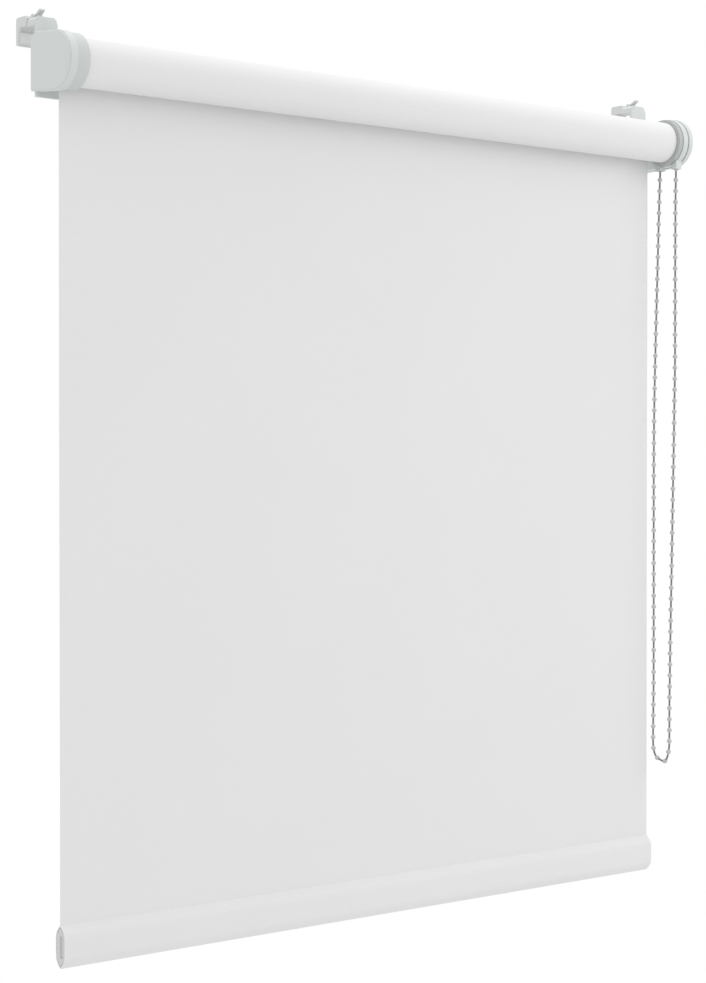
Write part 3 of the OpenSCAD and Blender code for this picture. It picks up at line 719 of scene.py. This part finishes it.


# %% [markdown]
# ### Plastic, cloth and metal
# The brackets and covers are the same grey-white plastic with a trace of green, the covers a little smoother.
# The flanges at the ends of the roll are darker, partly as their own colour and partly as painted shade for the
# drive flange's shadow between the roll and the chain guard. The cloth is off-white with a low sheen. The springs
# and the pin are drawn steel, and the bar and tube are extruded aluminium, whose fine lines run along X.

# %% Plastic finishes
bracket_plastic = moulded("bracket plastic", paint(207, 212, 210), paint(202, 207, 205), gloss=0.46)
cover_plastic = moulded("cover plastic", paint(206, 211, 209), paint(201, 206, 204), gloss=0.36, depth=0.07)
hook_plastic = moulded("hook plastic", paint(209, 211, 210), paint(204, 206, 205), gloss=0.46)
ring_plastic = moulded("ring plastic", paint(198, 203, 201), paint(192, 197, 195), gloss=0.48)
# The flanges' darker tone is partly their own colour and partly painted shade, for the shadow that the drive
# flange sits in between the roll and the chain guard.
flange_plastic_painted_shade = moulded("flange plastic", paint(178, 182, 180), paint(170, 174, 172), gloss=0.48)
inner_plastic = moulded("inner plastic", paint(196, 202, 200), paint(184, 190, 188), gloss=0.5)
cap_plastic = moulded("cap plastic", paint(204, 206, 205), paint(197, 199, 198), gloss=0.5)
bead_plastic = moulded("bead plastic", paint(190, 193, 191), paint(182, 185, 183), gloss=0.3, depth=0.03)
# The pads are painted near white as painted light: their pale tone lifts the hook leg's face, which sits in shade
# inside the clamp.
pad_rubber = moulded("pad rubber", paint(225, 227, 227), paint(219, 221, 221), gloss=0.62, grain=2200.0,
                     depth=0.3)
tape_film = moulded("tape film", paint(218, 214, 198), paint(208, 203, 186), gloss=0.28, grain=800.0,
                    depth=0.05)


# %% Cloth finish
def blind_cloth(name, colour, shade, threads, depth, sheen):
    """Woven cloth on the piece's own cloth UV."""
    material, tree, shader = start_finish(name)
    node = joined(tree, shader, WEAVE, Color=colour, Shade=shade, Threads=threads, Depth=depth)
    cloth_uv = add(tree, "ShaderNodeUVMap", uv_map="cloth")
    tree.links.new(cloth_uv.outputs["UV"], node.inputs["Cloth"])
    shader.inputs["Sheen Weight"].default_value = sheen
    shader.inputs["Sheen Roughness"].default_value = 0.5
    shader.inputs["Specular IOR Level"].default_value = 0.25
    return material


cloth = blind_cloth("blind cloth", paint(228, 228, 228), paint(220, 220, 220), 1700.0, 0.2, 0.05)
braid = blind_cloth("chain braid", paint(138, 138, 135), paint(108, 108, 106), 2600.0, 0.5, 0.0)


# %% Metal finishes
LINE_SHADE = 0.86


def drawn_metal(name, colour, roughness, stretch):
    """Metal with fine lines along the stretched axis, made by squeezing a noise across it."""
    material, tree, shader = start_finish(name)
    place = add(tree, "ShaderNodeTexCoord").outputs["Object"]
    lines = add(tree, "ShaderNodeMapping", Vector=place, Scale=stretch)
    noise = add(tree, "ShaderNodeTexNoise", Vector=lines.outputs["Vector"], Scale=1.0, Detail=3.0)
    shade = tuple(LINE_SHADE * part for part in colour[:3]) + (1,)
    tree.links.new(mixed(tree, noise.outputs["Fac"], colour, shade), shader.inputs["Base Color"])
    uneven = maths(tree, "MULTIPLY_ADD", noise.outputs["Fac"], 0.15, roughness)
    tree.links.new(uneven, shader.inputs["Roughness"])
    bump = add(tree, "ShaderNodeBump", Strength=0.15, Distance=0.00005, Height=noise.outputs["Fac"])
    tree.links.new(bump.outputs["Normal"], shader.inputs["Normal"])
    shader.inputs["Metallic"].default_value = 1.0
    return material


extruded = drawn_metal("extruded aluminium", paint(205, 207, 210), 0.34, (20, 3000, 3000))
spring_wire = drawn_metal("spring wire", paint(178, 178, 180), 0.26, (900, 900, 900))


# %% Dress every part
def dress(piece, material):
    """Puts one material on every slot of a piece."""
    if not piece.material_slots:
        piece.data.materials.append(material)
    for held in piece.material_slots:
        held.material = material


BY_SLOT = {"bracket_plastic": bracket_plastic, "cover_plastic": cover_plastic, "hook_plastic": hook_plastic,
           "ring_plastic": ring_plastic, "dark_plastic": flange_plastic_painted_shade, "wheel_plastic": inner_plastic,
           "cap_plastic": cap_plastic, "blind_fabric": cloth, "chain_cord": braid,
           "chain_beads": bead_plastic, "tape": tape_film, "aluminium": extruded, "spring_steel": spring_wire,
           "pad_rubber": pad_rubber}
slot_of = {part["node"]: part["material_slot"] for part in frame["record"]["subparts"]}
made_here = ((chain_cord, braid), (beads, bead_plastic), (roll, cloth), (last_turn, cloth), (sheet, cloth),
             (hem, cloth), (spring, spring_wire))
for pieces in (frame["nodes"], mouldings):
    for node, piece in pieces.items():
        dress(piece, BY_SLOT[slot_of[node]])
for piece, material in made_here:
    dress(piece, material)
print(len(frame["nodes"]) + len(mouldings) + len(made_here), "pieces dressed")

# %% [markdown]
# ## Floor and light
# A pale round floor lies below the blind and fades out towards its rim. Around it, a white sky gives the even
# light of a studio tent. The light that reaches the parts is a little weaker than the white that the eye sees
# behind them, so that the background stays clean. One broad lamp straight above brightens the top of the
# roll, and a weak one stands at the right. The plain display transform keeps white paint and white cloth as
# bright as they are.

# %% Floor
FLOOR_BELOW = 0.65
FLOOR_R = 1.5
FLOOR_SIDES = 96
FADE_START, FADE_END = 1.55, 1.95
floor_z = hem_low.z - FLOOR_BELOW
rim = circle(FLOOR_SIDES)
floor_points = np.stack([FLOOR_R * np.cos(rim), FLOOR_R * np.sin(rim), np.full(FLOOR_SIDES, floor_z)], 1)
floor_mesh = bpy.data.meshes.new("floor")
floor_mesh.from_pydata(floor_points.tolist(), [], [list(range(FLOOR_SIDES))])
floor = bpy.data.objects.new("floor", floor_mesh)
bpy.context.scene.collection.objects.link(floor)
floor_paint, floor_tree, floor_shader = start_finish("floor")
floor_shader.inputs["Base Color"].default_value = paint(238, 238, 238)
floor_shader.inputs["Roughness"].default_value = 0.9
from_middle = add(floor_tree, "ShaderNodeVectorMath", operation="LENGTH")
floor_tree.links.new(add(floor_tree, "ShaderNodeTexCoord").outputs["Object"], from_middle.inputs[0])
fading = add(floor_tree, "ShaderNodeMapRange", From_Min=FADE_START, From_Max=FADE_END, To_Min=1.0,
             To_Max=0.0)
floor_tree.links.new(from_middle.outputs["Value"], fading.inputs["Value"])
floor_tree.links.new(fading.outputs["Result"], floor_shader.inputs["Alpha"])
floor.data.materials.append(floor_paint)


# %% Lamps
def lamp(name, place, size, power, aim):
    """A square lamp at place that shines towards aim."""
    data = bpy.data.lights.new(name, "AREA")
    data.size = size
    data.energy = power
    light = bpy.data.objects.new(name, data)
    light.location = place
    light.rotation_euler = (Vector(aim) - Vector(place)).to_track_quat("-Z", "Y").to_euler()
    bpy.context.scene.collection.objects.link(light)


lamp("top lamp", place=(0, axis_y + 0.2, 2.0), size=1.4, power=14.0, aim=(0, axis_y, axis_z))
lamp("right lamp", place=(0.95, -0.8, 0.2), size=0.6, power=2.2,
     aim=(right_x, axis_y, (hem_low.z + axis_z) / 2))

# %% White tent
TENT_LIGHT = 0.95
world = bpy.data.worlds.new("white tent")
world.use_nodes = True
sky = world.node_tree
seen = sky.nodes["Background"]
seen.inputs["Color"].default_value = (1, 1, 1, 1)
lighting = add(sky, "ShaderNodeBackground", Color=(1, 1, 1, 1), Strength=TENT_LIGHT)
either = add(sky, "ShaderNodeMixShader")
sky.links.new(add(sky, "ShaderNodeLightPath").outputs["Is Camera Ray"], either.inputs[0])
sky.links.new(lighting.outputs[0], either.inputs[1])
sky.links.new(seen.outputs[0], either.inputs[2])
sky.links.new(either.outputs[0], sky.nodes["World Output"].inputs["Surface"])
bpy.context.scene.world = world
bpy.context.scene.view_settings.view_transform = "Standard"
